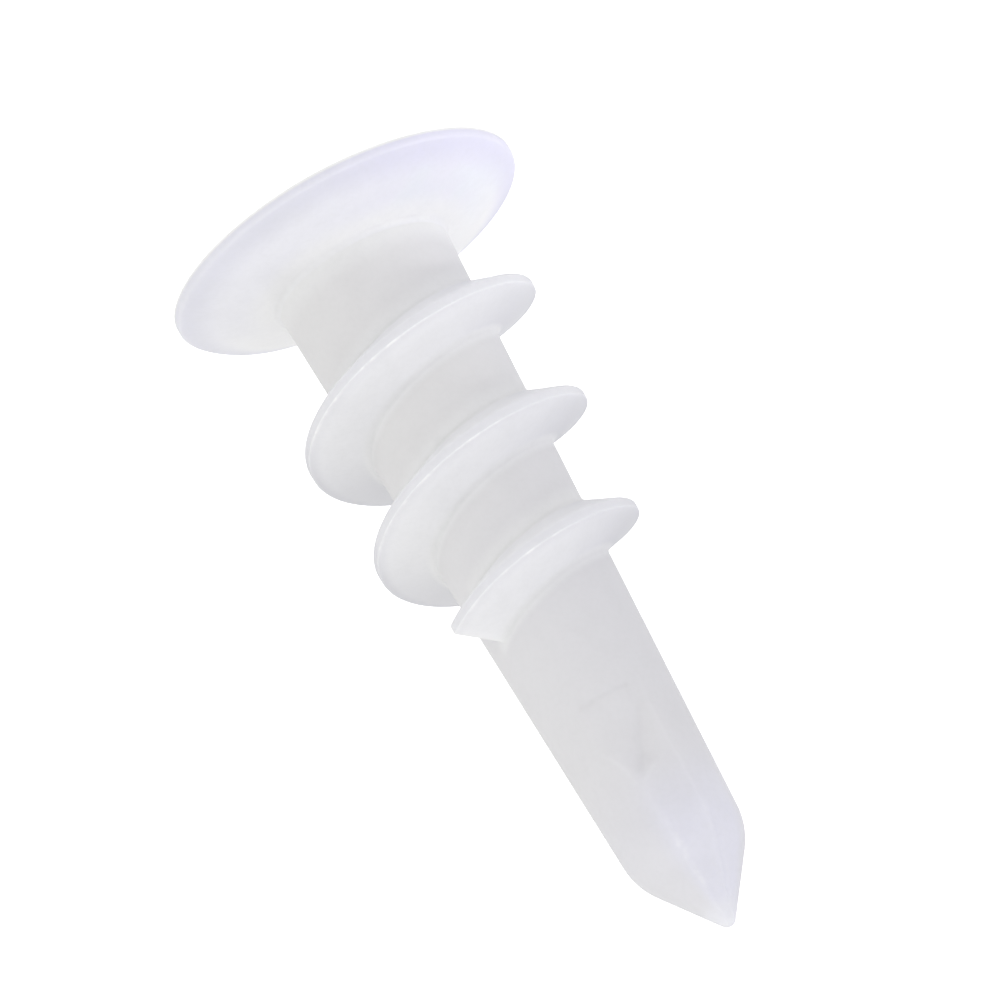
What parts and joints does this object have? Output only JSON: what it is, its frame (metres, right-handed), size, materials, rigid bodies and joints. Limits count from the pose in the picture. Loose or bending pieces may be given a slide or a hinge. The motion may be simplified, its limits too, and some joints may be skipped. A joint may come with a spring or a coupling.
{
  "type": "self-drilling plasterboard anchor",
  "caption": "Moulded nylon anchor that drills itself into plasterboard: domed head with cross recess, coarse tapering thread, fluted point and a pilot hole for a wood screw.",
  "frame": {"origin": "on the axis at the outer face of the head, which is at z = 0", "axes": "+Z along the axis from the head to the point; +X and +Y lie along the wings of the cross recess"},
  "size_m": [0.0144, 0.0144, 0.032],
  "materials": {
    "nylon": "milky white nylon, slightly translucent, with the soft sheen of a moulded part"
  },
  "bodies": {
    "root": {"anchor": "nylon"}
  },
  "joints": []
}
